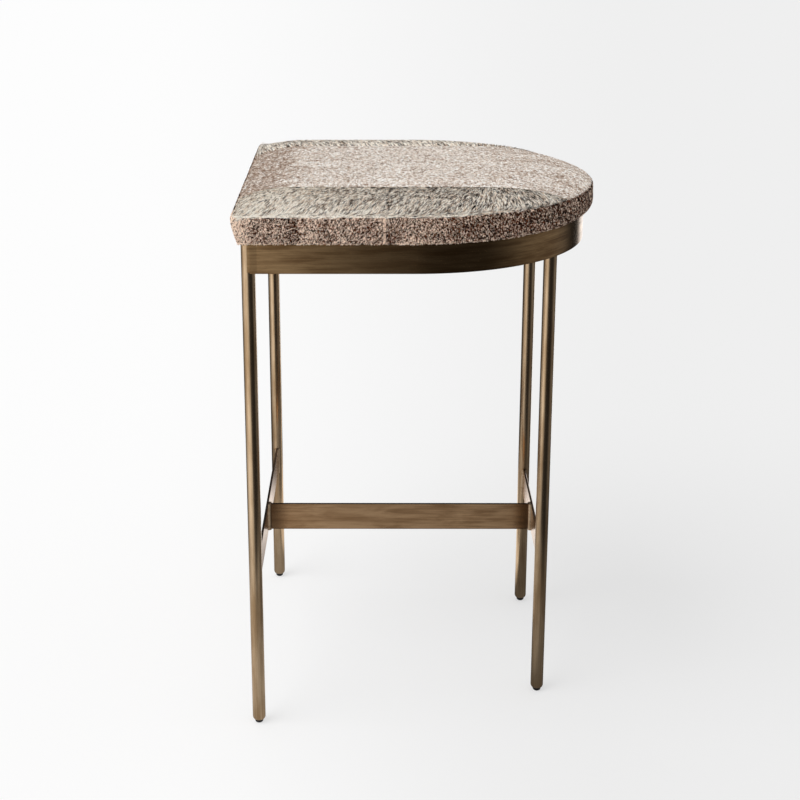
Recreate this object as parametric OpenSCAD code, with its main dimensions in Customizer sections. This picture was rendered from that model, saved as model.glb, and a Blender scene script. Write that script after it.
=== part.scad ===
// Counter stool with a D-shaped padded seat on a welded metal frame.
// Millimetres, +Z up, origin on the floor under the middle of the seat.
// The flat front of the seat faces -Y, its round end faces +Y.

/* [Seat] */
// Widest width of the cushion across its two straight sides
seat_w = 448; // [410:2:500]
// Depth of the cushion from its flat front to its round end
seat_d = 434; // [400:2:480]
// Height of the cushion's side from its lower edge to the crease
cushion_side_h = 34; // [30:1:46]
// Rise of the crown above the crease
crown_h = 13; // [6:1:20]
// Width of the slope between the crease and the top of the crown
crown_fall = 72; // [40:1:90]
// How far the cushion's side draws in at its lower edge
draw_in = 8; // [3:0.5:10]
// How far the cushion's side swells out below the crease
side_swell = 1.5; // [0.5:0.5:4]
// Radius of the cushion's two front corners
corner_r = 9; // [6:1:16]
// Distance from the middle of the seat to each long seam on its top
seam_x = 130; // [90:1:160]
// Depth of the dip along each long seam
seam_dip = 0.8; // [0.2:0.1:1]
// Distance from the flat front to the upright seams of the side band
band_seam_from_front = 174; // [90:1:190]

/* [Cover, foam and board] */
// Thickness of the hide with its short hair
hide_t = 2; // [1.4:0.1:3]
// Width of the hide that is folded under the board
fold_w = 34; // [28:1:60]
// Thickness of the folded hide, pressed flat
fold_t = 1.5; // [1:0.1:2.5]
// Thickness of the woven dust cover
dust_cover_t = 0.8; // [0.5:0.1:1.5]
// Gap between the dust cover and the metal round it
dust_cover_gap = 2; // [1:0.5:4]
// Thickness of the plywood seat board
board_t = 15; // [12:1:18]
// Slack between the hide and the board or the foam inside it
cover_slack = 0.5; // [0.3:0.1:0.9]

/* [Frame] */
// Height from the floor to the top edge of the metal frame
frame_h = 613; // [450:1:760]
// How far the cushion stands out past the metal frame all round
overhang = 11; // [6:1:16]
// Height of the flat bar under the seat
apron_h = 35; // [25:1:50]
// Thickness of the flat bar under the seat
apron_t = 5; // [3:0.5:6]
// How far the flat bar's face sits behind the outermost line of the legs
face_step = 0.3; // [0.2:0.1:0.8]

/* [Legs] */
// Outer diameter of the round legs
leg_d = 16; // [14:0.5:20]
// Wall thickness of the legs
leg_wall = 1.5; // [1:0.1:2.5]
// Distance from the back of the frame to the rear legs' centres
rear_leg_inset = 52; // [30:1:90]
// Height of the rounded lower end of each leg
foot_round_h = 4.5; // [2:0.5:7]

/* [Glides] */
// Diameter of the glide under each leg
glide_d = 10.5; // [8:0.5:12]
// How far the glide stands out below the leg
glide_h = 4.5; // [3:0.5:8]
// Diameter of the glide's flat underside
glide_flat_d = 5.6; // [4:0.2:7]
// Diameter of the stem that is pushed into the leg
stem_d = 6; // [4:0.5:7]
// Length of the stem
stem_l = 14; // [12:1:24]
// Slack round the stem in its hole
stem_slack = 0.05; // [0.02:0.01:0.15]

/* [Footrest] */
// Height from the floor to the top edge of the footrest bars
footrest_h = 205; // [120:1:320]
// Height of the footrest bars
footrest_bar_h = 37; // [20:1:50]
// Thickness of the footrest bars
footrest_bar_t = 3; // [2:0.5:6]

/* [Welds] */
// Radius of the welds in the corners of the middle footrest bar
corner_weld_r = 4; // [2:0.5:6]
// Radius of the weld beads between the bars and the legs
bead_r = 2.2; // [1.5:0.1:3]
// How far the beads under the seat stop short of the bar's edges
bead_end = 4; // [3:0.5:8]

/* [Seat fixing] */
// Width of the welded fixing tabs
tab_w = 24; // [18:1:30]
// Distance from the flat bar to the hole in each tab
tab_reach = 18; // [16:1:24]
// Thickness of the tabs
tab_t = 3; // [2:0.5:5]
// Distance from the front of the frame to the two side tabs
side_tab_from_front = 90; // [70:1:130]
// Diameter of the hole in each tab
tab_hole_d = 5.5; // [5:0.1:7]
// Diameter of the seat screws
screw_d = 4; // [3:0.1:4.6]
// Diameter of the screw heads
screw_head_d = 9; // [8:0.5:12]
// Height of the screw heads
screw_head_h = 3; // [2:0.5:4]
// Bevel round the edge of the screw heads
screw_head_bevel = 1; // [0.2:0.1:1.5]
// Board left above the end of each screw
screw_end_gap = 4; // [2:0.5:6]
// Slack round the screws in the board
screw_slack = 0.05; // [0.02:0.01:0.15]

/* [Staples] */
// Width across each staple
staple_w = 10; // [8:0.5:13]
// Length of the staple legs
staple_l = 8; // [6:0.5:9]
// Thickness of the staple wire
wire_t = 0.7; // [0.5:0.1:1]
// Width of the staple wire
wire_w = 1.2; // [0.8:0.1:1.6]
// Distance from the edge of the dust cover to the staples
staple_edge = 9; // [7:0.5:12]
// Distance between staples along the straight edges
staple_pitch = 32; // [24:1:44]
// Angle between staples round the arc
staple_angle = 13; // [9:1:20]
// Slack round the staple legs in what they pin together
staple_slack = 0.05; // [0.02:0.01:0.1]

/* [Hidden] */
$fn = 96;
// Fineness of the large round outlines and of the small beads
arc_fn = 288;
bead_fn = 48;

// How far cutting shapes pass the faces that they cut
cut = 1;

// Plan of the frame: a flat front, straight sides and a half circle
leg_r = leg_d / 2;
arc_y = seat_d / 2 - seat_w / 2;
frame_r = seat_w / 2 - overhang;
frame_front = overhang - seat_d / 2;
leg_path_r = frame_r - leg_r;
front_leg_y = frame_front + leg_r;
rear_leg_y = arc_y + frame_r - rear_leg_inset;
front_leg_x = leg_path_r;
rear_leg_x = sqrt(pow(leg_path_r, 2) - pow(rear_leg_y - arc_y, 2));
rear_leg_angle = atan2(rear_leg_y - arc_y, rear_leg_x);

// Flat bar under the seat
apron_z = frame_h - apron_h;
apron_outer_r = frame_r - face_step;
apron_inner_r = apron_outer_r - apron_t;
apron_front_inner = frame_front + face_step + apron_t;
apron_inset = leg_r - face_step - apron_t;

// Footrest bars
footrest_z = footrest_h - footrest_bar_h;

// Layers under the seat, from the frame's top edge upwards
dust_cover_z = frame_h - dust_cover_t;
board_z = frame_h + fold_t;
foam_z = board_z + board_t;
crease_z = frame_h + cushion_side_h;
tab_z = dust_cover_z - tab_t;
dust_cover_r = apron_inner_r - dust_cover_gap;
dust_cover_front = apron_front_inner + dust_cover_gap;
fold_edge = draw_in + hide_t;
board_edge = fold_edge + cover_slack;
board_corner_r = 3;
screw_hole_spare = 1;
screw_hole_depth = board_t - screw_end_gap + screw_hole_spare;
slot_spare = 0.5;
slot_depth = staple_l - dust_cover_t - fold_t + slot_spare;

// Shape of the cushion
crown_power = 2.4;
swell_share = 0.15;
draw_power = 1.5;
seam_soft = 5;
crease_r = seat_w / 2 - side_swell;
crease_front = side_swell - seat_d / 2;
crease_corner = max(corner_r - side_swell, 1);
band_seam_y = band_seam_from_front - seat_d / 2;
foam_inset = hide_t + cover_slack;
foam_edge_round = 4;
least_corner_r = 0.6;

// Fineness of the cushion's surfaces
row_steps = 14;
column_steps = 7;
middle_steps = 8;
arc_steps = 30;
corner_steps = 4;
front_steps = 6;
band_steps = 6;
foam_side_steps = 3;
foam_crown_shares = [0, 0.07, 0.17, 0.31, 0.5, 0.72, 1];

// Columns of the top panels beside a seam, as distances from it
seam_columns = [0, 3, 9];

// Hole centre and turn of each tab: front, rear, left, right
TABS = [
  [0, apron_front_inner + tab_reach, 180],
  [0, arc_y + apron_inner_r - tab_reach, 0],
  [tab_reach - apron_inner_r, frame_front + side_tab_from_front, 90],
  [apron_inner_r - tab_reach, frame_front + side_tab_from_front, -90]
];

// Staple places as [x, y, turn], kept off the tabs and the rear legs
staple_r = dust_cover_r - staple_edge;
staple_front = dust_cover_front + staple_edge;
staple_clear = 2;
tab_keep_off = tab_w / 2 + staple_w / 2 + staple_clear;
tab_keep_angle = asin(tab_keep_off / staple_r);
leg_keep_angle = asin((leg_r + staple_w / 2 + staple_clear) / staple_r);
side_tab_y = frame_front + side_tab_from_front;
side_count = floor((arc_y - staple_front) / staple_pitch);
front_count = floor((leg_path_r - leg_d - tab_keep_off) / staple_pitch);
arc_count = floor(90 / staple_angle) - 1;
STAPLES = concat(
  [for (s = [-1, 1], i = [0 : front_count]) [s * (tab_keep_off + i * staple_pitch), staple_front, 0]],
  [for (s = [-1, 1], i = [0 : side_count - 1])
    let (y = arc_y - i * staple_pitch)
    if (abs(y - side_tab_y) > tab_keep_off) [s * staple_r, y, 90]],
  [for (s = [-1, 1], i = [0 : arc_count])
    let (a = tab_keep_angle + i * staple_angle)
    if (a < 88 && abs(90 - a - rear_leg_angle) > leg_keep_angle)
      [s * staple_r * sin(a), arc_y + staple_r * cos(a), -s * a]]
);

// Plan shapes

// Half disc on the +Y side of the X axis
module half_disc(r) {
  intersection() {
    circle(r, $fn = arc_fn);
    translate([-r - cut, 0]) square([2 * r + 2 * cut, r + cut]);
  }
}

// Straight sides from y = from_y that run into the half circle at the back
module arch(r, from_y) {
  translate([0, arc_y]) half_disc(r);
  translate([-r, from_y]) square([2 * r, arc_y - from_y]);
}

// The same with two round front corners
module soft_arch(r, from_y, corner) {
  translate([0, arc_y]) half_disc(r);
  translate([-r, from_y + corner]) square([2 * r, arc_y - from_y - corner]);
  translate([-r + corner, from_y]) square([2 * (r - corner), corner]);
  for (s = [-1, 1]) {
    translate([s * (r - corner), from_y + corner]) circle(corner);
  }
}

module at_front_legs() {
  for (s = [-1, 1]) translate([s * front_leg_x, front_leg_y]) children();
}

module at_rear_legs() {
  for (s = [-1, 1]) translate([s * rear_leg_x, rear_leg_y]) children();
}

// Legs

// Round tube with a rounded lower end that is holed for the glide's stem
module leg_tube() {
  steps = 10;
  glide_r = glide_d / 2;
  hole_r = stem_d / 2 + stem_slack;
  shoulder = [for (i = [0 : steps]) let (a = 90 * i / steps)
    [glide_r + (leg_r - glide_r) * sin(a), glide_h + foot_round_h * (1 - cos(a))]];
  floor_z = glide_h + foot_round_h + leg_wall;
  bore = [
    [leg_r, frame_h], [leg_r - leg_wall, frame_h],
    [leg_r - leg_wall, floor_z], [hole_r, floor_z], [hole_r, glide_h]
  ];
  rotate_extrude() polygon(concat(shoulder, bore));
}

module front_leg(side) {
  color("#7d6547") translate([side * front_leg_x, front_leg_y]) leg_tube();
}

// The rear legs are notched at the top, so the bent band passes outside them
module rear_leg(side) {
  color("#7d6547") difference() {
    translate([side * rear_leg_x, rear_leg_y]) leg_tube();
    translate([0, arc_y, apron_z]) difference() {
      cylinder(r = frame_r + cut, h = apron_h + cut, $fn = arc_fn);
      translate([0, 0, -cut]) cylinder(r = apron_inner_r, h = apron_h + 3 * cut, $fn = arc_fn);
    }
  }
}

// Domed glide with a stem that is pushed up into the leg
module glide() {
  steps = 8;
  side_share = 0.75;
  glide_r = glide_d / 2;
  flat_r = glide_flat_d / 2;
  tip = 1;
  dome = [for (i = [0 : steps]) let (a = 90 * i / steps)
    [flat_r + (glide_r - flat_r) * sin(a), side_share * glide_h * (1 - cos(a))]];
  stem = [
    [glide_r, glide_h], [stem_d / 2, glide_h], [stem_d / 2, glide_h + stem_l - tip],
    [stem_d / 2 - tip, glide_h + stem_l], [0, glide_h + stem_l]
  ];
  rotate_extrude() polygon(concat([[0, 0]], dome, stem));
}

module front_glide(side) {
  color("#161616") translate([side * front_leg_x, front_leg_y]) glide();
}

module rear_glide(side) {
  color("#161616") translate([side * rear_leg_x, rear_leg_y]) glide();
}

// Flat bars under the seat

module apron_front_bar() {
  color("#6b5539") translate([0, 0, apron_z]) linear_extrude(apron_h) difference() {
    translate([-front_leg_x, frame_front + face_step]) square([2 * front_leg_x, apron_t]);
    at_front_legs() circle(leg_r);
  }
}

module apron_bent_band() {
  color("#6b5539") translate([0, 0, apron_z]) linear_extrude(apron_h) difference() {
    arch(apron_outer_r, front_leg_y);
    arch(apron_inner_r, front_leg_y - cut);
    at_front_legs() circle(leg_r);
  }
}

// Beads in the corners between the flat bars and the legs, inside the frame
module apron_welds() {
  corner_reach = sqrt(pow(leg_r, 2) - pow(apron_inset, 2));
  cos_split = (pow(leg_path_r, 2) + pow(apron_inner_r, 2) - pow(leg_r, 2))
    / (2 * leg_path_r * apron_inner_r);
  split = acos(cos_split);
  color("#5a4730") translate([0, 0, apron_z + bead_end]) linear_extrude(apron_h - 2 * bead_end) {
    for (s = [-1, 1]) {
      difference() {
        translate([s * (front_leg_x + apron_inset), front_leg_y + corner_reach]) circle(bead_r);
        at_front_legs() circle(leg_r);
        translate([s > 0 ? apron_inner_r : -apron_outer_r, front_leg_y]) square([apron_t, leg_d * 2]);
      }
      difference() {
        translate([s * (front_leg_x - corner_reach), front_leg_y - apron_inset]) circle(bead_r);
        at_front_legs() circle(leg_r);
        translate([-front_leg_x, frame_front + face_step]) square([2 * front_leg_x, apron_t]);
      }
      for (side = [-1, 1]) {
        a = 90 + s * (90 - rear_leg_angle) + side * split;
        difference() {
          intersection() {
            translate([apron_inner_r * cos(a), arc_y + apron_inner_r * sin(a)]) circle(bead_r);
            translate([0, arc_y]) circle(apron_inner_r, $fn = arc_fn);
          }
          at_rear_legs() circle(leg_r);
        }
      }
    }
  }
}

// Footrest

// Flat bar along X between two legs, shaped to their round sides
module cross_rail(x, y) {
  color("#77603f") translate([0, y, footrest_z]) linear_extrude(footrest_bar_h) difference() {
    translate([-x, -footrest_bar_t / 2]) square([2 * x, footrest_bar_t]);
    for (s = [-1, 1]) translate([s * x, 0]) circle(leg_r);
  }
}

module footrest_front_bar() { cross_rail(front_leg_x, front_leg_y); }

module footrest_rear_bar() { cross_rail(rear_leg_x, rear_leg_y); }

module footrest_middle_bar() {
  from_y = front_leg_y + footrest_bar_t / 2;
  to_y = rear_leg_y - footrest_bar_t / 2;
  color("#77603f") translate([-footrest_bar_t / 2, from_y, footrest_z])
    cube([footrest_bar_t, to_y - from_y, footrest_bar_h]);
}

// Beads on both faces of a bar where it meets a leg, the leg at the origin
module rail_beads(toward) {
  half_t = footrest_bar_t / 2;
  reach = sqrt(pow(leg_r, 2) - pow(half_t, 2));
  for (s = [-1, 1]) difference() {
    translate([toward * reach, s * half_t]) circle(bead_r, $fn = bead_fn);
    circle(leg_r);
    translate([-leg_d, -half_t]) square([2 * leg_d, footrest_bar_t]);
  }
}

// Quarter-round bead in the corner of the first quadrant
module corner_bead() {
  intersection() {
    circle(corner_weld_r, $fn = bead_fn);
    square(corner_weld_r + cut);
  }
}

module footrest_welds() {
  half_t = footrest_bar_t / 2;
  color("#5a4730") translate([0, 0, footrest_z]) linear_extrude(footrest_bar_h) {
    for (s = [-1, 1]) {
      translate([s * front_leg_x, front_leg_y]) rail_beads(-s);
      translate([s * rear_leg_x, rear_leg_y]) rail_beads(-s);
      translate([s * half_t, front_leg_y + half_t]) scale([s, 1]) corner_bead();
      translate([s * half_t, rear_leg_y - half_t]) scale([s, -1]) corner_bead();
    }
  }
}

// Seat fixing

// Tongue with a round end and a screw hole, welded to the inside of the bar
module seat_tab(place) {
  color("#4c3d2a") translate([0, 0, tab_z]) linear_extrude(tab_t) difference() {
    intersection() {
      translate([place[0], place[1]]) rotate(place[2]) {
        rotate(180) half_disc(tab_w / 2);
        translate([-tab_w / 2, 0]) square([tab_w, tab_reach + apron_t]);
      }
      arch(apron_inner_r, apron_front_inner);
    }
    translate([place[0], place[1]]) circle(d = tab_hole_d);
  }
}

module at_tabs() {
  for (place = TABS) translate([place[0], place[1]]) children();
}

module seat_screws() {
  head_z = tab_z - screw_head_h;
  shank_end = board_z + board_t - screw_end_gap;
  tip = screw_d / 2;
  color("#8c8c90") at_tabs() rotate_extrude() polygon([
    [0, head_z], [screw_head_d / 2 - screw_head_bevel, head_z],
    [screw_head_d / 2, head_z + screw_head_bevel], [screw_head_d / 2, tab_z],
    [screw_d / 2, tab_z], [screw_d / 2, shank_end - tip], [0, shank_end]
  ]);
}

// Slots for the staple legs, grown by the slack round them
module staple_slots() {
  for (p = STAPLES) translate([p[0], p[1]]) rotate(p[2]) for (s = [-1, 1])
    translate([s * (staple_w - wire_t) / 2, 0])
      square([wire_t + 2 * staple_slack, wire_w + 2 * staple_slack], center = true);
}

module staples() {
  color("#b8b8bc") for (p = STAPLES) translate([p[0], p[1], dust_cover_z - wire_t]) rotate(p[2]) {
    translate([-staple_w / 2, -wire_w / 2, 0]) cube([staple_w, wire_w, wire_t]);
    for (s = [-1, 1]) translate([s * (staple_w - wire_t) / 2 - wire_t / 2, -wire_w / 2, 0])
      cube([wire_t, wire_w, wire_t + staple_l]);
  }
}

// Board, dust cover and the hide folded under the board

module seat_board() {
  color("#c9a878") difference() {
    translate([0, 0, board_z]) linear_extrude(board_t)
      soft_arch(seat_w / 2 - board_edge, board_edge - seat_d / 2, board_corner_r);
    at_tabs() translate([0, 0, board_z - cut])
      cylinder(d = screw_d + 2 * screw_slack, h = screw_hole_depth + cut);
    translate([0, 0, board_z - cut]) linear_extrude(slot_depth + cut) staple_slots();
  }
}

module hide_folded_edge() {
  outer_r = seat_w / 2 - fold_edge;
  outer_front = fold_edge - seat_d / 2;
  color("#9c8a76") translate([0, 0, frame_h]) linear_extrude(fold_t) difference() {
    soft_arch(outer_r, outer_front, board_corner_r);
    arch(outer_r - fold_w, outer_front + fold_w);
    at_tabs() circle(d = tab_hole_d);
    staple_slots();
  }
}

module dust_cover() {
  color("#1d1d1d") translate([0, 0, dust_cover_z]) linear_extrude(dust_cover_t) difference() {
    arch(dust_cover_r, dust_cover_front);
    at_front_legs() circle(leg_r + dust_cover_gap);
    at_rear_legs() circle(leg_r + dust_cover_gap);
    at_tabs() circle(d = tab_hole_d);
    staple_slots();
  }
}

// Solids through lists of points

// Solid along a row of closed sections of equal length, each listed as its
// outer points from one end and its inner points back again
module section_solid(sections) {
  m = len(sections[0]);
  last = len(sections) - 1;
  half = m / 2;
  sides = [for (i = [0 : last - 1], j = [0 : m - 1])
    let (a = i * m + j, b = i * m + (j + 1) % m, c = b + m, d = a + m)
    each [[a, b, c], [a, c, d]]];
  caps = [for (j = [0 : half - 2])
    let (a = j, b = j + 1, c = m - 2 - j, d = m - 1 - j, e = last * m)
    each [[a, d, c], [a, c, b], [e + a, e + b, e + c], [e + a, e + c, e + d]]];
  polyhedron(points = [for (s = sections) each s], faces = concat(sides, caps), convexity = 6);
}

// Solid through stacked rings of equal length, closed by flat fans
module ring_solid(rings, low_centre, high_centre) {
  m = len(rings[0]);
  last = len(rings) - 1;
  low = len(rings) * m;
  high = low + 1;
  sides = [for (i = [0 : last - 1], j = [0 : m - 1])
    let (a = i * m + j, b = i * m + (j + 1) % m, c = b + m, d = a + m)
    each [[a, b, c], [a, c, d]]];
  fans = [for (j = [0 : m - 1])
    let (k = (j + 1) % m, e = last * m)
    each [[low, k, j], [high, e + j, e + k]]];
  points = concat([for (r = rings) each r], [low_centre, high_centre]);
  polyhedron(points = points, faces = concat(sides, fans), convexity = 4);
}

// Form of the cushion

// Share of the crown's height at a distance from the crease
function roll(d) = 1 - pow(1 - min(1, max(0, d) / crown_fall), crown_power);

function side_distance(x, y) =
  crease_r - (y < arc_y ? abs(x) : norm([x, y - arc_y]));

function crown_at(x, y) = crown_h * roll(side_distance(x, y)) * roll(y - crease_front);

function seam_dip_at(x) = seam_dip * exp(-pow((abs(x) - seam_x) / seam_soft, 2));

// Offset of the cushion's side from its widest outline at a height
function side_offset(z) =
  let (s = (crease_z - z) / cushion_side_h)
  s < swell_share
    ? -side_swell * pow(1 - s / swell_share, 2)
    : -draw_in * pow((s - swell_share) / (1 - swell_share), draw_power);

// Outline of the cushion, grown by o, as points that run clockwise from above
function front_path(o, z) =
  let (r = seat_w / 2 + o, f = -seat_d / 2 - o, c = max(corner_r + o, least_corner_r))
  concat(
    [[r, band_seam_y, z], [r, (band_seam_y + f) / 2, z]],
    [for (i = [0 : corner_steps]) let (a = -90 * i / corner_steps)
      [r - c + c * cos(a), f + c + c * sin(a), z]],
    [for (i = [1 : front_steps - 1]) [(r - c) * (1 - 2 * i / front_steps), f, z]],
    [for (i = [0 : corner_steps]) let (a = -90 - 90 * i / corner_steps)
      [-r + c + c * cos(a), f + c + c * sin(a), z]],
    [[-r, (band_seam_y + f) / 2, z], [-r, band_seam_y, z]]
  );

function rear_path(o, z) =
  let (r = seat_w / 2 + o)
  concat(
    [[-r, band_seam_y, z]],
    [for (i = [0 : arc_steps]) let (a = 180 - 180 * i / arc_steps)
      [r * cos(a), arc_y + r * sin(a), z]],
    [[r, band_seam_y, z]]
  );

// One strip of the side band along a path given by its number
function band_path(rear, o, z) = rear ? rear_path(o, z) : front_path(o, z);

module hide_band(rear) {
  drops = concat(
    [hide_t / cushion_side_h],
    [for (k = [0 : band_steps - 1]) swell_share + (1 - swell_share) * k / (band_steps - 1)]
  );
  levels = [for (s = drops) crease_z - cushion_side_h * s];
  outer = [for (z = levels) band_path(rear, side_offset(z), z)];
  inner = [for (z = levels) band_path(rear, side_offset(z) - hide_t, z)];
  section_solid([for (i = [0 : len(outer[0]) - 1]) concat(
    [for (k = [0 : band_steps]) outer[k][i]],
    [for (k = [band_steps : -1 : 0]) inner[k][i]]
  )]);
}

// Foam pad: rings up its side, then rings that step in over the crown
module foam_pad() {
  side_top = crease_z - hide_t - foam_edge_round;
  side_levels = [for (k = [0 : foam_side_steps])
    foam_z + (side_top - foam_z) * k / foam_side_steps];
  side_rings = [for (z = side_levels) foam_ring(side_offset(z) - foam_inset, z)];
  crown_rings = [for (share = foam_crown_shares)
    [for (p = foam_ring(-side_swell - foam_inset - share * crown_fall, 0))
      [p[0], p[1], crease_z + crown_at(p[0], p[1]) - foam_inset]]];
  color("#e6d9a8") ring_solid(
    concat(side_rings, crown_rings),
    [0, arc_y, foam_z],
    [0, arc_y, crease_z + crown_h - foam_inset]
  );
}

function foam_ring(o, z) =
  let (front = front_path(o, z), rear = rear_path(o, z))
  concat(front, [for (i = [1 : len(rear) - 2]) rear[i]]);

// Top panels, as columns of points across the seat
function front_edge(x) =
  let (into = max(0, abs(x) - crease_r + crease_corner))
  crease_front + crease_corner - sqrt(max(0, pow(crease_corner, 2) - pow(into, 2)));

function rear_edge(x) = arc_y + sqrt(max(0, pow(crease_r, 2) - pow(x, 2)));

function panel_column(x) =
  let (
    y0 = front_edge(x),
    y1 = rear_edge(x),
    rows = [for (j = [0 : row_steps]) y0 + (y1 - y0) * (1 - cos(180 * j / row_steps)) / 2],
    dip = seam_dip_at(x)
  )
  concat(
    [for (y = rows) [x, y, crease_z + crown_at(x, y) - dip * roll(y - y0) * roll(y1 - y)]],
    [for (j = [row_steps : -1 : 0]) [x, rows[j], crease_z + crown_at(x, rows[j]) - hide_t]]
  );

module hide_top_middle() {
  inner = seam_x - seam_columns[2];
  columns = concat(
    [for (d = seam_columns) d - seam_x],
    [for (i = [1 : middle_steps - 1]) inner * (2 * i / middle_steps - 1)],
    [for (i = [2 : -1 : 0]) seam_x - seam_columns[i]]
  );
  color("#a8978a") section_solid([for (x = columns) panel_column(x)]);
}

module hide_top_side(side) {
  from_angle = asin((seam_x + seam_columns[2]) / crease_r);
  outward = concat(
    [seam_x, seam_x + seam_columns[1]],
    [for (i = [0 : column_steps])
      crease_r * sin(from_angle + (90 - from_angle) * i / column_steps)]
  );
  last = len(outward) - 1;
  columns = side > 0 ? outward : [for (i = [last : -1 : 0]) -outward[i]];
  color("#bdb3a4") section_solid([for (x = columns) panel_column(x)]);
}

front_leg(-1);  // leg_front_left
front_leg(1);  // leg_front_right
rear_leg(-1);  // leg_rear_left
rear_leg(1);  // leg_rear_right
front_glide(-1);  // glide_front_left
front_glide(1);  // glide_front_right
rear_glide(-1);  // glide_rear_left
rear_glide(1);  // glide_rear_right
apron_front_bar();
apron_bent_band();
apron_welds();
footrest_front_bar();
footrest_rear_bar();
footrest_middle_bar();
footrest_welds();
seat_tab(TABS[0]);  // seat_tab_front
seat_tab(TABS[1]);  // seat_tab_rear
seat_tab(TABS[2]);  // seat_tab_left
seat_tab(TABS[3]);  // seat_tab_right
seat_screws();
seat_board();
foam_pad();
hide_top_middle();
hide_top_side(-1);  // hide_top_left
hide_top_side(1);  // hide_top_right
color("#826f5e") hide_band(false);  // hide_band_front
color("#78665a") hide_band(true);  // hide_band_rear
hide_folded_edge();
dust_cover();
staples();
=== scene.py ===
import math

import bmesh
import bpy
from mathutils import Matrix, Vector
from mathutils.bvhtree import BVHTree


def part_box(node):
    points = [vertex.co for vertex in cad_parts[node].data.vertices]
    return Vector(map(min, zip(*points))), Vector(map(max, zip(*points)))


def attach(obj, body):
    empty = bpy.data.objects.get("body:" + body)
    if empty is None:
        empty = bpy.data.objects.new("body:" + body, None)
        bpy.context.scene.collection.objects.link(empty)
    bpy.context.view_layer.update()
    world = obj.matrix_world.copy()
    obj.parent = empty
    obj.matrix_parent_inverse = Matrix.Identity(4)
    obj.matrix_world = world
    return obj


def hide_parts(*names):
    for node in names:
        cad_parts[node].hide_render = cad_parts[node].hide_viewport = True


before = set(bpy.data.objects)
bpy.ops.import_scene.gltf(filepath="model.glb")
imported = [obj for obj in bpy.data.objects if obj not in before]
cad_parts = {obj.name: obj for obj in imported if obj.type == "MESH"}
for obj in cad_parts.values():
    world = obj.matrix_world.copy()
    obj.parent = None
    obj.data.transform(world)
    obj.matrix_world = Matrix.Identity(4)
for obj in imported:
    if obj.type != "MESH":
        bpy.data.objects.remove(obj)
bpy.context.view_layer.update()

# Legs
# Four lengths of round steel tube in an antique brass finish: plated, browned
# and rubbed back, so the tube is clouded and has fine lines along its length.


class Wire:
    """One output socket. Arithmetic on it adds Math nodes to its tree."""

    def __init__(self, net, socket):
        self.net, self.socket = net, socket

    def out(self, name):
        return Wire(self.net, self.socket.node.outputs[name])

    def maths(self, operation, first, second=0.0):
        return self.net.node("ShaderNodeMath", {"operation": operation}, {0: first, 1: second})

    def __add__(self, other):
        return self.maths("ADD", self, other)

    def __radd__(self, other):
        return self.maths("ADD", other, self)

    def __sub__(self, other):
        return self.maths("SUBTRACT", self, other)

    def __rsub__(self, other):
        return self.maths("SUBTRACT", other, self)

    def __mul__(self, other):
        return self.maths("MULTIPLY", self, other)

    def __rmul__(self, other):
        return self.maths("MULTIPLY", other, self)

    def __abs__(self):
        return self.maths("ABSOLUTE", self)


class Net:
    """A node tree, for a finish, the studio or the scatter of the hair."""

    def __init__(self, tree):
        self.tree = tree

    def node(self, kind, settings=(), sockets=(), output=0):
        made = self.tree.nodes.new(kind)
        for name, value in dict(settings).items():
            if name == "stops":
                stops = made.color_ramp.elements
                stops[0].position, stops[1].position = value[0][0], value[-1][0]
                for place, _ in value[1:-1]:
                    stops.new(place)
                for stop, (_, shade) in zip(stops, value):
                    stop.color = shade
            else:
                setattr(made, name, value)
        for name, value in dict(sockets).items():
            if isinstance(value, Wire):
                self.tree.links.new(value.socket, made.inputs[name])
            else:
                made.inputs[name].default_value = value
        return Wire(self, made.outputs[output])

    def noise(self, where, scale, detail=2.0, rough=0.5, twist=0.0):
        values = {
            "Vector": where, "Scale": scale, "Detail": detail, "Roughness": rough,
            "Distortion": twist,
        }
        return self.node("ShaderNodeTexNoise", {}, values)

    def step(self, value, low, high):
        """0 below low and 1 above high, with a soft change between."""
        values = {0: value, 1: low, 2: high}
        return self.node("ShaderNodeMapRange", {"interpolation_type": "SMOOTHSTEP"}, values)

    def mix(self, share, first, second):
        values = {0: share, 6: first, 7: second}
        return self.node("ShaderNodeMix", {"data_type": "RGBA"}, values, 2)


def tone(red, green, blue):
    """A colour as a screen shows it, 0 to 255 a channel, for a socket."""
    return tuple(((c / 255 + 0.055) / 1.055) ** 2.4 for c in (red, green, blue)) + (1,)


class Finish(Net):
    """A material on one Principled shader, painted by place on the object."""

    def __init__(self, name, **fixed):
        self.material = bpy.data.materials.new(name)
        self.material.use_nodes = True
        super().__init__(self.material.node_tree)
        self.shader = self.tree.nodes["Principled BSDF"]
        for socket, value in fixed.items():
            self.shader.inputs[socket.replace("_", " ")].default_value = value
        self.place = self.node("ShaderNodeTexCoord", output="Object")

    def stretched(self, *scale):
        return self.node("ShaderNodeMapping", {}, {"Vector": self.place, "Scale": scale})

    def axis(self, name):
        return self.node("ShaderNodeSeparateXYZ", {}, {0: self.place}, name)

    def vary(self, **wires):
        for socket, wire in wires.items():
            self.tree.links.new(wire.socket, self.shader.inputs[socket.replace("_", " ")])

    def raised(self, height, depth):
        self.vary(Normal=self.node("ShaderNodeBump", {}, {"Height": height, "Distance": depth}))

    def onto(self, *nodes):
        """Gives this finish to pieces of the frame that keep their shape."""
        for name in nodes:
            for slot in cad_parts[name].material_slots:
                slot.material = self.material


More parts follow.
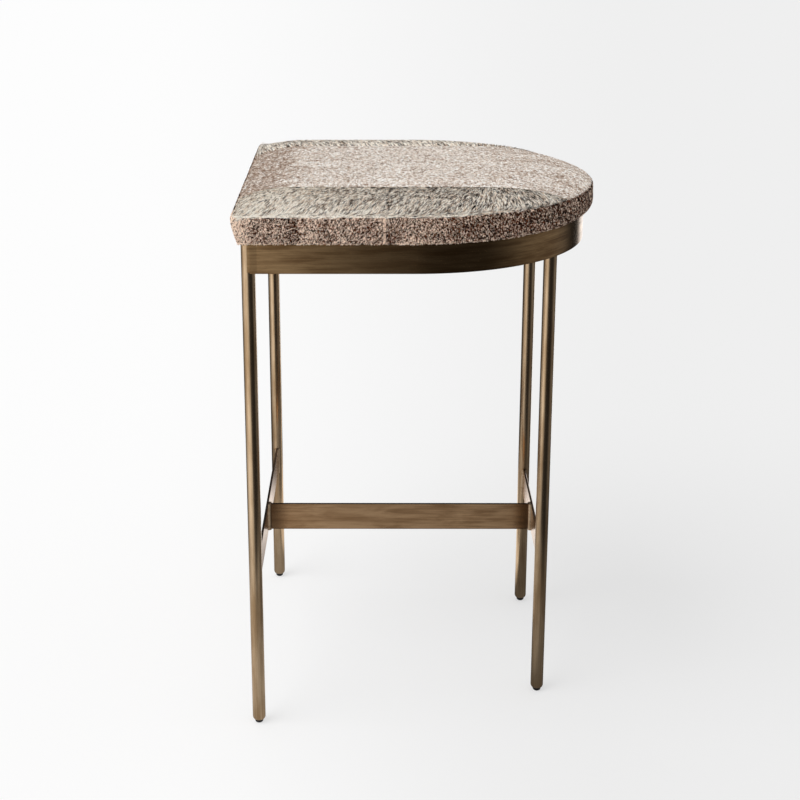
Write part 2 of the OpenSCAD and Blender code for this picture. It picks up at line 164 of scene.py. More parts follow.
def brass(name, lines, patches, pale=tone(209, 182, 149), brown=tone(166, 136, 102), wavy=0.0,
          ends=None):
    """Antique brass, brushed along the axis in which lines and patches are stretched least.

    ends is the middle of a bar on Y and the distance from there to its ends, which are painted
    darker: a painted reflection of the bars they meet.
    """
    finish = Finish(name, Metallic=1.0)
    strokes = finish.noise(finish.stretched(*lines), 1.0, 3.0, 0.6, wavy)
    clouds = finish.noise(finish.stretched(*patches), 1.0, 4.0, 0.6, wavy)
    browned = finish.step(clouds * 0.75 + strokes * 0.45, 0.42, 0.78)
    eased = finish.node("ShaderNodeAttribute", {"attribute_name": "eased"}, {}, "Fac")
    plated = finish.mix(browned, pale, brown)
    # Faces that point up or down are painted dark: painted shade under the cushion and painted
    # dark reflections along the bars' top and bottom edges.
    dark = eased * 0.85
    # The ends of a bar are painted darker: a painted dark reflection of the side rails it
    # meets.
    if ends:
        middle, reach = ends
        end_shade_length = 0.026
        from_middle = abs(finish.axis("Y") - middle) + strokes * 0.01
        dark = dark + finish.step(from_middle, reach - end_shade_length, reach) * 0.7
    finish.vary(
        Base_Color=finish.mix(dark, plated, tone(44, 30, 18)),
        Roughness=0.14 + strokes * 0.1 + browned * 0.05,
    )
    finish.raised(strokes, 0.00003)
    return finish


leg_nodes = ["leg_front_left", "leg_front_right", "leg_rear_left", "leg_rear_right"]
brass("tube_brass", (700, 700, 9), (60, 60, 12)).onto(*leg_nodes)

# Glides
# A black nylon plug under each leg, moulded with a dome and pushed into the
# tube. Its underside is a little scuffed.
nylon = Finish("black_nylon", Specular_IOR_Level=0.4)
scuffs = nylon.noise(nylon.place, 900.0, 3.0)
worn = nylon.step(0.0022 - nylon.axis("Z"), 0.0, 0.002)
nylon.vary(
    Base_Color=nylon.mix(worn * scuffs, tone(22, 21, 20), tone(70, 66, 62)),
    Roughness=0.38 + scuffs * 0.25,
)
nylon.raised(scuffs, 0.00005)
nylon.onto("glide_front_left", "glide_front_right", "glide_rear_left", "glide_rear_right")

# Flat bars under the seat
# A straight bar across the front and one bar bent round the sides and the
# back, 35 by 5 mm, set on edge. Their long edges are eased before plating.


def eased_copy(node, name, ease, finish):
    """A piece of the frame copied with its sharp edges rounded off, and its faces that point up
    or down marked for painted shade.
    """
    shape = bmesh.new()
    shape.from_mesh(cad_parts[node].data)
    bmesh.ops.remove_doubles(shape, verts=shape.verts, dist=1e-6)
    bmesh.ops.dissolve_limit(
        shape, angle_limit=math.radians(0.2), verts=shape.verts, edges=shape.edges
    )
    shade_layer = shape.faces.layers.float.new("eased")
    sharp = [e for e in shape.edges if e.is_manifold and e.calc_face_angle() > math.radians(40)]
    bmesh.ops.bevel(
        shape, geom=sharp, offset=ease, offset_type="OFFSET", segments=2,
        profile=0.5, affect="EDGES", clamp_overlap=True, material=-1,
    )
    shape.normal_update()
    # Faces that point up or down are marked, and the brass paints them dark: painted shade
    # under the cushion and painted dark reflections along the top and bottom of the bars.
    for face in shape.faces:
        face[shade_layer] = 1.0 if abs(face.normal.z) > 0.3 else 0.0
    return settle(shape, name, smooth_under=20, finish=finish)


def settle(shape, name, smooth_under=None, finish=None):
    """Turns a bmesh into a piece that rides on the stool's one body."""
    mesh = bpy.data.meshes.new(name)
    shape.to_mesh(mesh)
    shape.free()
    piece = bpy.data.objects.new(name, mesh)
    bpy.context.scene.collection.objects.link(piece)
    if smooth_under:
        mesh.shade_smooth()
        mesh.set_sharp_from_angle(angle=math.radians(smooth_under))
    if finish:
        mesh.materials.append(finish.material)
    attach(piece, "root")
    return piece


rail_ease = 0.0016
bar_brass = brass(
    "bar_brass", (14, 14, 950), (15, 15, 120), tone(198, 162, 118), tone(140, 106, 70)
)
for node in ("apron_front_bar", "apron_bent_band"):
    bar = eased_copy(node, node.replace("apron", "seat_rail"), rail_ease, bar_brass)
    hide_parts(node)

# Ground corners
# Where the bars meet the front legs the weld is filled and ground flush, so
# that leg and bar run into each other on the outside of both corners.
leg_low, leg_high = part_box("leg_front_right")
leg_x, leg_y = (leg_low.x + leg_high.x) / 2, (leg_low.y + leg_high.y) / 2
rail_low, rail_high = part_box("apron_bent_band")


def in_one_order(shape):
    """Sorts faces and edges by place, because extruding and cutting leave them in any order."""
    across = Vector((1.0, 7.3, 53.1))
    shape.faces.sort(key=lambda face: face.calc_center_median().dot(across))
    shape.edges.sort(key=lambda edge: (edge.verts[0].co + edge.verts[1].co).dot(across))


# The filling beside a leg, seen from above, in metres from the leg's middle.
FLUSH = [
    (0.00788, -0.00139), (0.00804, 0.0003), (0.00798, 0.0032), (0.00785, 0.0068),
    (0.00773, 0.0105), (0.0073, 0.0105), (0.0073, -0.00139),
]
blend = bmesh.new()
for side in (-1, 1):
    for on_front in (False, True):
        corners = [(-b, -a) if on_front else (a, b) for a, b in FLUSH]
        verts = [
            blend.verts.new((side * (leg_x + x), leg_y + y, rail_low.z + rail_ease))
            for x, y in corners
        ]
        face = blend.faces.new(verts)
        extruded = bmesh.ops.extrude_face_region(blend, geom=[face])["geom"]
        raised = [part for part in extruded if isinstance(part, bmesh.types.BMVert)]
        filled_h = rail_high.z - rail_low.z - 2 * rail_ease
        bmesh.ops.translate(blend, verts=raised, vec=(0, 0, filled_h))
bmesh.ops.recalc_face_normals(blend, faces=blend.faces)
in_one_order(blend)
settle(blend, "ground_corners", 30, finish=bar_brass)

# Footrest
# Three flat bars, 37 by 3 mm, that make an H between the legs: one at the
# front, one at the back and one that joins them. Cut to length and eased.
rest_ease = 0.0009
rest_look = (16, 16, 420), (14, 14, 70), tone(208, 170, 130), tone(170, 132, 95), 0.6
rest_brass = brass("rest_brass", *rest_look)
cross_low, cross_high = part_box("footrest_middle_bar")
cross_ends = (cross_low.y + cross_high.y) / 2, (cross_high.y - cross_low.y) / 2
cross_brass = brass("cross_brass", *rest_look, cross_ends)
for node, finish in (
    ("footrest_front_bar", rest_brass),
    ("footrest_rear_bar", rest_brass),
    ("footrest_middle_bar", cross_brass),
):
    bar = eased_copy(node, node.replace("_bar", "_rail"), rest_ease, finish)
    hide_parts(node)

# Welds
# Beads of filler metal in the corners between bars and legs, laid in small
# overlapping pools and plated with the rest of the frame.
weld_brass = brass(
    "weld_brass", (60, 60, 420), (60, 60, 60), tone(214, 188, 158), tone(172, 142, 110)
)
weld_brass.onto("apron_welds", "footrest_welds")

# Tabs
# Four flat steel tongues with a hole, welded inside the bars. The seat sits
# on them, and they are plated like the bars.
tab_brass = brass(
    "tab_brass", (300, 300, 60), (40, 40, 40), tone(172, 142, 104), tone(120, 92, 62)
)
tab_brass.onto("seat_tab_front", "seat_tab_rear", "seat_tab_left", "seat_tab_right")

# Seat board
# A panel of birch plywood cut to the seat's D shape. Its edge shows the thin
# layers of veneer, which are light and dark in turn.
board_low, board_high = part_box("seat_board")
layers = 11
layer_t = (board_high.z - board_low.z) / layers
birch = Finish("birch_plywood", Roughness=0.62)
in_layers = (birch.axis("Z") - board_low.z) * (1 / layer_t)
dark_layer = birch.node("ShaderNodeMath", {"operation": "PINGPONG"}, {0: in_layers, 1: 1.0})
figure = birch.noise(birch.stretched(9, 240, 60), 1.0, 4.0)
plank = birch.mix(figure, tone(206, 176, 132), tone(178, 144, 100))
birch.vary(Base_Color=birch.mix(birch.step(dark_layer, 0.35, 0.6), plank, tone(150, 116, 78)))
birch.raised(figure, 0.0001)
birch.onto("seat_board")

# Hide cover
# Five pieces of hair-on cowhide sewn together inside out and pulled tight over
# the foam, so the seams sink a little and the panels swell between them.
band_low, band_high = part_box("hide_band_rear")
front_low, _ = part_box("hide_band_front")
half_w, rear_y, front_y = band_high.x, band_high.y, front_low.y
hem_z = band_low.z
hide_t = 0.002
crease_z = band_high.z + hide_t
crown_swell = 0.002
crown_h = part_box("hide_top_middle")[1].z - crease_z + crown_swell
arc_y = rear_y - half_w
side_h = crease_z - hem_z
crown_fall = 0.072
crown_power = 2.4
draw_in = 0.008
side_swell = 0.0015
swell_share = 0.15
draw_power = 1.5
round_end_full, round_end_reach, full_power = 0.0048, 0.19, 2.4
corner_r = 0.009
seam_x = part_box("hide_top_middle")[1].x
band_seam_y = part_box("hide_band_front")[1].y
crease_r = half_w - side_swell
crease_front = front_y + side_swell
crease_corner = corner_r - side_swell


def roll(distance):
    return 1 - (1 - min(1.0, max(0.0, distance) / crown_fall)) ** crown_power


def side_distance(x, y):
    return crease_r - (abs(x) if y < arc_y else math.hypot(x, y - arc_y))


def crown_at(x, y):
    return crown_h * roll(side_distance(x, y)) * roll(y - crease_front)


def side_offset(drop):
    """How far the side stands out from the widest outline, at a share of its height down."""
    if drop < swell_share:
        return -side_swell * (1 - drop / swell_share) ** 2
    return -draw_in * ((drop - swell_share) / (1 - swell_share)) ** draw_power


def front_edge(x):
    into = max(0.0, abs(x) - crease_r + crease_corner)
    return crease_front + crease_corner - math.sqrt(max(0.0, crease_corner ** 2 - into ** 2))


def rear_edge(x):
    return arc_y + math.sqrt(max(0.0, crease_r ** 2 - x ** 2))


def outward(x, y):
    """The way out of the seat's outline at a point on its crease, seen from above."""
    if y > arc_y:
        return Vector((x, y - arc_y, 0)).normalized()
    turn_x = math.copysign(crease_r - crease_corner, x)
    turn_y = crease_front + crease_corner
    if abs(x) > abs(turn_x) and y < turn_y:
        return Vector((x - turn_x, y - turn_y, 0)).normalized()
    if y < turn_y and abs(x) <= abs(turn_x):
        return Vector((0, -1, 0))
    return Vector((math.copysign(1, x), 0, 0))


def graded(start, end, near, steps):
    """Places from start to end, close together at both ends as near says."""
    inner_start, inner_end = start + near[-1], end - near[-1]
    inner = [inner_start + (inner_end - inner_start) * i / steps for i in range(1, steps)]
    return [start + d for d in near] + inner + [end - d for d in reversed(near)]


seam_edge, beside_seam = 0.0025, 0.006
side_turns = 13
seam_turn = math.asin((seam_x + beside_seam) / crease_r)
side_columns = [
    crease_r * math.sin(seam_turn + (math.pi / 2 - seam_turn) * i / side_turns)
    for i in range(side_turns + 1)
]
right_columns = [seam_x + seam_edge] + side_columns
middle_steps = 28
middle_columns = graded(-seam_x, seam_x, (0.0, seam_edge, 0.007), middle_steps)
columns = [-x for x in reversed(right_columns)] + middle_columns + right_columns
row_steps = 42
end_rows = (0.0, seam_edge, 0.007, 0.015)
rows = row_steps - 1 + 2 * len(end_rows)

cover = bmesh.new()
bmesh.ops.create_grid(cover, x_segments=len(columns) - 1, y_segments=rows - 1, size=0.5)
for vert in cover.verts:
    x = columns[round((vert.co.x + 0.5) * (len(columns) - 1))]
    y = graded(front_edge(x), rear_edge(x), end_rows, row_steps)[
        round((vert.co.y + 0.5) * (rows - 1))
    ]
    vert.co = (x, y, crease_z + crown_at(x, y))
for side in (-1, 1):
    edge_verts = [v for v in cover.verts if abs(v.co.x - side * crease_r) < 1e-6]
    min(edge_verts, key=lambda v: abs(v.co.y - band_seam_y)).co.y = band_seam_y

rim = {vert: vert.co.copy() for vert in cover.verts if vert.is_boundary}
edges = [edge for edge in cover.edges if edge.is_boundary]
band_faces = []
drops = (0.03, 0.1, 0.22, 0.36, 0.5, 0.64, 0.78, 0.9, 0.97, 1.0)
for drop in drops:
    extruded = bmesh.ops.extrude_edge_only(cover, edges=edges)["geom"]
    fresh = {part for part in extruded if isinstance(part, bmesh.types.BMVert)}
    for vert in fresh:
        source = next(
            e.other_vert(vert) for e in vert.link_edges if e.other_vert(vert) not in fresh
        )
        rim[vert] = rim[source]
        full = round_end_full * min(1.0, max(0.0, (rim[vert].y - arc_y) / round_end_reach))
        stands = side_offset(drop) + side_swell + full * math.sin(math.pi * drop ** full_power)
        out = outward(rim[vert].x, rim[vert].y) * stands
        vert.co = (rim[vert].x + out.x, rim[vert].y + out.y, crease_z - drop * side_h)
    edges = [
        part for part in extruded
        if isinstance(part, bmesh.types.BMEdge) and all(v in fresh for v in part.verts)
    ]
    band_faces += [part for part in extruded if isinstance(part, bmesh.types.BMFace)]
bmesh.ops.recalc_face_normals(cover, faces=cover.faces)
if max(cover.verts, key=lambda v: v.co.z).normal.z < 0:
    bmesh.ops.reverse_faces(cover, faces=cover.faces)

# Whether a face is on the top or the band is kept as its material number, so
# that it lasts through the swelling and the subdivision.
TOP, BAND = 0, 1
for face in cover.faces:
    face.material_index = TOP
for face in band_faces:
    face.material_index = BAND
# The hem, the crease and the seams hold the cover down while it is blown up.
hem_grip, crease_grip, seam_grip = 1.0, 0.85, 0.5
crease_reach, seam_reach = 0.0035, 0.004
held = cover.verts.layers.deform.verify()
for vert in cover.verts:
    x, y, z = vert.co
    drop = (crease_z - z) / side_h
    near_crease = min(side_distance(x, y), y - crease_front)
    if drop > 0.999:
        vert[held][0] = hem_grip
    elif vert in rim and drop < 0.001 or (drop <= 0 and near_crease < crease_reach):
        vert[held][0] = crease_grip
    elif drop <= 0 and abs(abs(x) - seam_x) < seam_reach:
        vert[held][0] = seam_grip
in_one_order(cover)
mesh = bpy.data.meshes.new("cover_shell")
cover.to_mesh(mesh)
cover.free()
shell = bpy.data.objects.new("cover_shell", mesh)
bpy.context.scene.collection.objects.link(shell)
shell.vertex_groups.new(name="held")
for name in ("top", "band"):
    mesh.materials.append(bpy.data.materials.new(name))


def swell(body, pressure, most, frames=20):
    """Blows a held cloth up for some frames. It keeps what moved outwards, up to most."""
    cloth = body.modifiers.new("cloth", "CLOTH")
    cloth.settings.quality = 6
    cloth.settings.mass = 0.4
    cloth.settings.tension_stiffness = 60
    cloth.settings.compression_stiffness = 60
    cloth.settings.shear_stiffness = 30
    cloth.settings.bending_stiffness = 6
    cloth.settings.use_pressure = True
    cloth.settings.uniform_pressure_force = pressure
    cloth.settings.vertex_group_mass = "held"
    cloth.settings.effector_weights.gravity = 0
    cloth.collision_settings.use_collision = False
    cloth.point_cache.frame_end = frames
    for step in range(1, frames + 1):
        bpy.context.scene.frame_set(step)
    graph = bpy.context.evaluated_depsgraph_get()
    blown = [v.co.copy() for v in body.evaluated_get(graph).data.vertices]
    body.modifiers.clear()
    bpy.context.scene.frame_set(1)
    ways = [vert.normal.copy() for vert in body.data.vertices]
    for vert, end, way in zip(body.data.vertices, blown, ways):
        vert.co += way * min(most, max(0.0, (end - vert.co).dot(way)))


swell(shell, pressure=12.0, most=0.0045)

smoother = shell.modifiers.new("round", "SUBSURF")
smoother.levels = smoother.render_levels = 1
graph = bpy.context.evaluated_depsgraph_get()
rounded = bmesh.new()
rounded.from_mesh(bpy.data.meshes.new_from_object(shell.evaluated_get(graph)))
bpy.data.objects.remove(shell)

# The upright seams are cut into the band, with an edge on each side of them, and
# then every seam sinks and the whole hide goes in by the thickness of its hair.
for offset in (-seam_edge, 0.0, seam_edge):
    strip = [f for f in rounded.faces if f.material_index == BAND]
    touching = dict.fromkeys([part for f in strip for part in (*f.edges, *f.verts)])
    bmesh.ops.bisect_plane(
        rounded, geom=strip + list(touching), dist=1e-5,
        plane_co=(0, band_seam_y + offset, 0), plane_no=(0, 1, 0),
    )
seam_soft, hair_t = 0.0016, 0.0009
crease_sink, long_seam_sink, upright_sink = 0.0009, 0.0005, 0.0012
rounded.normal_update()
sunk = []
for vert in rounded.verts:
    x, y, z = vert.co
    top = any(f.material_index == TOP for f in vert.link_faces)
    band = any(f.material_index == BAND for f in vert.link_faces)
    if top and band:
        distance, sink = 0.0, crease_sink
    elif top:
        crease, long_seam = min(side_distance(x, y), y - front_edge(x)), abs(abs(x) - seam_x)
        distance, sink = min((crease, crease_sink), (long_seam, long_seam_sink))
    else:
        upright = abs(y - band_seam_y) if abs(x) > 0.1 else 1.0
        distance, sink = min((crease_z - z, crease_sink), (upright, upright_sink))
    depth = hair_t + sink * math.exp(-((distance / seam_soft) ** 2))
    sunk.append((vert, vert.normal * depth))
for vert, move in sunk:
    vert.co -= move

# Strips and hair
# Three strips of hide over the top and a side band in a front and a rear strip.
# The hair is short, lies one way on each and is pale on top, brown on the band.


def strip_of(face):
    x, y, _ = face.calc_center_median()
    if face.material_index == BAND:
        return "hide_band_front" if y < band_seam_y else "hide_band_rear"
    if abs(x) < seam_x:
        return "hide_top_middle"
    return "hide_top_left" if x < 0 else "hide_top_right"


STRIPS = {
    "hide_top_middle": "hide_middle",
    "hide_top_left": "hide_sides",
    "hide_top_right": "hide_sides",
    "hide_band_front": "hide_band",
    "hide_band_rear": "hide_band",
}
belongs = {face: strip_of(face) for face in rounded.faces}
order = {name: number for number, name in enumerate(STRIPS)}
for face, name in belongs.items():
    face.material_index = order[name]


crease_turn, lip_turn = 0.012, 0.014
fan_from, fan_over = 0.04, 0.12


def lay_of(strip, x, y):
    """The way in which the hair lies at a place, as seen from above and along the band.

    Within crease_turn of the crease and lip_turn of the front edge it turns along them,
    and on the side strips it fans out round the end, from fan_from on.
    """
    radial = Vector((x, y - arc_y, 0)).normalized()
    behind = min(1.0, max(0.0, (y - fan_from) / fan_over))
    if strip == "hide_top_middle":
        return Vector((x * 0.8, 1.0, 0)).normalized()
    if strip in ("hide_top_left", "hide_top_right"):
        side = math.copysign(1, x)
        out = (Vector((side, 0, 0)) * (1 - behind) + radial * behind).normalized()
        along = Vector((out.y, -out.x, 0)) * side
        crossed = max(0.0, 1.0 - side_distance(x, y) / crease_turn)
        turned = 1 - 2 * max(0.0, 1.0 - (y - front_edge(x)) / lip_turn)
        lengthwise = (0.36 * (1 - behind) + crossed) * turned
        return (out * (0.93 - 0.75 * crossed) + along * lengthwise).normalized()
    along = Vector((-radial.y, radial.x, 0)) if y > arc_y else Vector((0, -1, 0))
    return Vector((0, 0, -1)) * 0.8 + along * (0.5 if x > 0 else -0.5)


def front_edge_shade(finish):
    """Painted shade: a dark line along the front edge of the top."""
    return 1.0 - finish.step(finish.axis("Y"), front_y + 0.001, front_y + 0.0045)


def middle_patches(finish):
    """Browner at the front end, pale in the middle, brown streaks toward the round end, and
    painted shade along the front edge.
    """
    y = finish.axis("Y")
    ragged = finish.noise(finish.place, 40.0, 3.0) - 0.5
    front = finish.step(ragged * 0.12 - y, 0.135, 0.165)
    streaks = finish.noise(finish.stretched(95, 9, 95), 1.0, 2.0)
    rear = finish.step(y, 0.05, 0.13) * finish.step(streaks, 0.48, 0.62)
    return 0.07 - front * 0.42 - rear * 0.25 - front_edge_shade(finish) * 0.6


def side_patches(finish):
    """Palest at the front corner, a painted highlight along the crease that turns to painted
    shade near the round end, darker toward the round end, partly the hide's own tone and partly
    painted shade, and painted shade along the front edge.
    """
    y, z = finish.axis("Y"), finish.axis("Z")
    # A painted highlight along the crease, which turns to painted shade near the round end.
    crease_highlight_and_shade = 1.0 - finish.step(z, crease_z - 0.001, crease_z + 0.002)
    crease_highlight_and_shade = crease_highlight_and_shade * (0.3 - finish.step(y, 0.10, 0.15) * 0.65)
    near = finish.step(finish.axis("X"), -0.02, 0.02) * 0.55 - 0.12
    corner = finish.step(0.0 - y, 0.02, 0.2) * near
    # Darker toward the round end: partly the hide's own tone, partly painted shade.
    round_end_tone_and_shade = finish.step(y, -0.02, 0.15) * 0.26
    return corner * 1.4 + crease_highlight_and_shade + 0.14 - round_end_tone_and_shade - front_edge_shade(finish) * 0.9


brown_patch_y = -0.139


def band_patches(finish):
    """Pale at the front corners and the hem, a painted highlight on the upright seam with a
    painted shadow behind it, and darker toward the round end, partly the hide's own tone and
    partly painted shade.
    """
    y, z = finish.axis("Y"), finish.axis("Z")
    ragged = (finish.noise(finish.place, 90.0, 3.0) - 0.5) * 0.02
    near = finish.step(finish.axis("X"), 0.16, 0.21)
    corner = finish.step(0.0 - y, 0.188, 0.214) * (near * 1.4 - 0.4)
    hem = (1.0 - finish.step(z, hem_z, hem_z + 0.0035)) * 0.35
    seam = y - band_seam_y
    # A painted highlight along the upright seam, and a painted shadow just behind it.
    seam_highlight = (1.0 - finish.step(abs(seam), 0.0006, 0.0022)) * 1.2
    shadow = (finish.step(seam, 0.001, 0.003) - finish.step(seam, 0.006, 0.020)) * 0.5
    patch = y - brown_patch_y + ragged
    before = (finish.step(patch, -0.024, -0.006) - finish.step(patch, -0.0015, 0.0015)) * 0.30
    after = (finish.step(patch, -0.0015, 0.0015) - finish.step(patch, 0.006, 0.03)) * 0.20
    # Darker toward the round end: partly the hide's own tone, partly painted shade.
    round_end_tone_and_shade = finish.step(y, -0.02, 0.10) * 0.48 + 0.17
    return corner + hem + seam_highlight - shadow - before + after - round_end_tone_and_shade


# Each coat: its dark, middle and pale hairs, how much they differ and its patches.
COATS = {
    "hide_middle": (
        tone(144, 118, 98), tone(238, 222, 208), tone(255, 255, 252), 1.7, middle_patches
    ),
    "hide_sides": (
        tone(22, 13, 7), tone(231, 205, 180), tone(255, 250, 240), 2.8, side_patches
    ),
    "hide_band": (
        tone(14, 4, 1), tone(131, 71, 37), tone(252, 228, 207), 2.9, band_patches
    ),
}


def coat(name, dark, middle, pale, mottling, patches, hairy):
    """The colour of a hide by its patches, with each hair its own shade.

    The skin under the hair has no hairs to be shaded by, so fine noise stands for them.
    """
    finish = Finish(name, Roughness=0.6, Specular_IOR_Level=0.12)
    if hairy:
        shade = finish.node("ShaderNodeAttribute", {"attribute_name": "tint"}, {}, "Fac")
    else:
        shade = (finish.noise(finish.stretched(350, 1000, 1000), 1.0, 1.0) - 0.5) * 2.4 + 0.5
    flecks = finish.noise(finish.stretched(450, 1300, 1300), 1.0, 1.0) - 0.5
    clouds = finish.noise(finish.stretched(30, 16, 30), 1.0, 3.0) - 0.5
    level = (shade - 0.5) * mottling + flecks * 0.4 + clouds * 0.5 + patches(finish) + 0.5
    stops = [(0.0, dark), (0.5, middle), (1.0, pale)]
    finish.vary(Base_Color=finish.node("ShaderNodeValToRGB", {"stops": stops}, {0: level}))
    return finish


# Each kind of hair: its length and width, how far it rises and strays from its
# lay, how many grow on a square metre and how fine its mottling is.
HAIRS = {
    "hide_middle": (0.0031, 0.0012, 3.0, 0.60, 430000.0, 430.0),
    "hide_sides": (0.0090, 0.0012, 5.0, 0.20, 750000.0, 430.0),
    "hide_band": (0.0024, 0.0012, 5.0, 0.95, 1550000.0, 500.0),
}
skins = {slot: coat(slot.replace("hide", "skin"), *COATS[slot], False) for slot in COATS}
hairs = {slot: coat(slot.replace("hide", "hair"), *COATS[slot], True) for slot in COATS}


def scatter(name, length, width, rise, stray, density, grain, seed):
    """The tree that plants one thin blade of hair at each of many points."""
    tree = bpy.data.node_groups.new(name, "GeometryNodeTree")
    tree.interface.new_socket("Geometry", in_out="INPUT", socket_type="NodeSocketGeometry")
    tree.interface.new_socket("Geometry", in_out="OUTPUT", socket_type="NodeSocketGeometry")
    net = Net(tree)
    surface = net.node("NodeGroupInput")
    points = net.node(
        "GeometryNodeDistributePointsOnFaces", {},
        {"Mesh": surface, "Density": density, "Seed": seed},
    )
    blade = net.node(
        "GeometryNodeMeshCone", {"fill_type": "NGON"},
        {"Vertices": 3, "Radius Top": 0.0, "Radius Bottom": 0.5, "Depth": 1.0},
    )
    height = net.node(
        "ShaderNodeSeparateXYZ", {}, {0: net.node("GeometryNodeInputPosition")}, "Z"
    )
    blade = net.node(
        "GeometryNodeStoreNamedAttribute", {"data_type": "FLOAT", "domain": "POINT"},
        {"Geometry": blade, "Name": "along", "Value": height},
    )
    blade = net.node(
        "GeometryNodeTransform", {},
        {"Geometry": blade, "Rotation": (0, math.pi / 2, 0)},
    )

    def chance(low, high, number):
        return net.node(
            "FunctionNodeRandomValue", {"data_type": "FLOAT"},
            {2: low, 3: high, "Seed": seed + number}, 1,
        )

    lay = net.node(
        "GeometryNodeInputNamedAttribute", {"data_type": "FLOAT_VECTOR"}, {"Name": "lay"}
    )
    upright = net.node(
        "FunctionNodeAlignRotationToVector", {"axis": "Z"}, {"Vector": points.out("Normal")}
    )
    combed = net.node(
        "FunctionNodeAlignRotationToVector", {"axis": "X", "pivot_axis": "Z"},
        {"Rotation": upright, "Vector": lay},
    )
    turn = net.node(
        "FunctionNodeEulerToRotation", {},
        {0: net.node("ShaderNodeCombineXYZ", {}, {
            "X": chance(-0.6, 0.6, 1),
            "Y": chance(math.radians(-rise * 1.7), math.radians(-rise * 0.4), 2),
            "Z": chance(-stray, stray, 3),
        })},
    )
    turned = net.node(
        "FunctionNodeRotateRotation", {"rotation_space": "LOCAL"},
        {"Rotation": combed, "Rotate By": turn},
    )
    size = net.node("ShaderNodeCombineXYZ", {}, {
        "X": chance(length * 0.7, length * 1.25, 4),
        "Y": chance(width * 0.7, width * 1.3, 5),
        "Z": width * 0.45,
    })
    hairs = net.node(
        "GeometryNodeInstanceOnPoints", {},
        {"Points": points, "Instance": blade, "Rotation": turned, "Scale": size},
    )
    place = net.node(
        "ShaderNodeVectorMath", {"operation": "MULTIPLY"},
        {0: net.node("GeometryNodeInputPosition"), 1: (grain * 0.35, grain, grain)},
    )
    spot = net.noise(place, 1.0, 1.0)
    tint = chance(0.0, 1.0, 6) * 0.9 + (spot - 0.5) * 1.8 + 0.05
    hairs = net.node(
        "GeometryNodeStoreNamedAttribute", {"data_type": "FLOAT", "domain": "INSTANCE"},
        {"Geometry": hairs, "Name": "tint", "Value": tint},
    )
    hairs = net.node("GeometryNodeRealizeInstances", {}, {0: hairs})
    tree.links.new(hairs.socket, tree.nodes.new("NodeGroupOutput").inputs[0])
    return tree


band_mean_h, band_cut_h = 0.0355, 0.0362
for number, (name, slot) in enumerate(STRIPS.items()):
    panel = rounded.copy()
    others = [f for f in panel.faces if f.material_index != order[name]]
    bmesh.ops.delete(panel, geom=others, context="FACES")
    for face in panel.faces:
        face.material_index = 0
    lay = panel.verts.layers.float_vector.new("lay")
    for vert in panel.verts:
        vert[lay] = lay_of(name, vert.co.x, vert.co.y)
    flat_area = sum(face.calc_area() for face in panel.faces)
    bed = panel.copy()
    hide = settle(panel, name.replace("hide", "cover"), 60, skins[slot])
    thick = hide.modifiers.new("thickness", "SOLIDIFY")
    thick.thickness = hide_t
    thick.offset = -1
    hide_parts(name)

    hair = settle(bed, name.replace("hide", "hair"), None, hairs[slot])
    planting = hair.modifiers.new("planting", "NODES")
    planting.node_group = scatter(name + "_scatter", *HAIRS[slot], 10 * number)
    graph = bpy.context.evaluated_depsgraph_get()
    planted = bpy.data.meshes.new_from_object(hair.evaluated_get(graph))
    hair.modifiers.clear()
    hair.data = planted
    planted.materials.clear()
    planted.materials.append(hairs[slot].material)
    if slot == "hide_band":
        cut = (round(flat_area / band_mean_h, 3), band_cut_h)
    else:
        cut = (round(hide.dimensions.y, 3), round(hide.dimensions.x, 3))
    min(flat_area * 1.02, cut[0] * cut[1])
cover_form = BVHTree.FromBMesh(rounded)
rounded.free()

# Foam pad
# A block of firm foam glued on the board, cut to the seat's outline with a
# rounded crown. It is a little smaller than the cover that is pulled over it.
foam_inset, foam_shoulder, crown_gap = 0.0046, 0.006, 0.001
foam_low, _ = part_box("foam_pad")


def outline(grown, turns=60):
    """Points round the seat's outline, grown by a distance, from its right side."""
    r, front, corner = half_w + grown, front_y - grown, max(corner_r + grown, 0.001)

    def arc(x, y, radius, start, sweep, steps):
        angles = [start + sweep * i / steps for i in range(steps)]
        return [(x + radius * math.cos(a), y + radius * math.sin(a)) for a in angles]

    def line(a, b, steps):
        return [
            (a[0] + (b[0] - a[0]) * i / steps, a[1] + (b[1] - a[1]) * i / steps)
            for i in range(steps)
        ]

    return (
        arc(0, arc_y, r, 0, math.pi, turns)
        + line((-r, arc_y), (-r, front + corner), 16)
        + arc(-r + corner, front + corner, corner, math.pi, math.pi / 2, 4)
        + line((-r + corner, front), (r - corner, front), 32)
        + arc(r - corner, front + corner, corner, math.pi * 1.5, math.pi / 2, 4)
        + line((r, front + corner), (r, arc_y), 16)
    )


def ringed(rings):
    """A closed solid through rings of equal length, the first and last one a point."""
    solid = bmesh.new()
    around, levels = len(rings[0]), len(rings)
    bmesh.ops.create_grid(solid, x_segments=around, y_segments=levels - 1, size=0.5)
    for vert in solid.verts:
        column = round((vert.co.x + 0.5) * around) % around
        vert.co = rings[round((vert.co.y + 0.5) * (levels - 1))][column]
    bmesh.ops.remove_doubles(solid, verts=solid.verts, dist=1e-7)
    bmesh.ops.recalc_face_normals(solid, faces=solid.faces)
    return solid


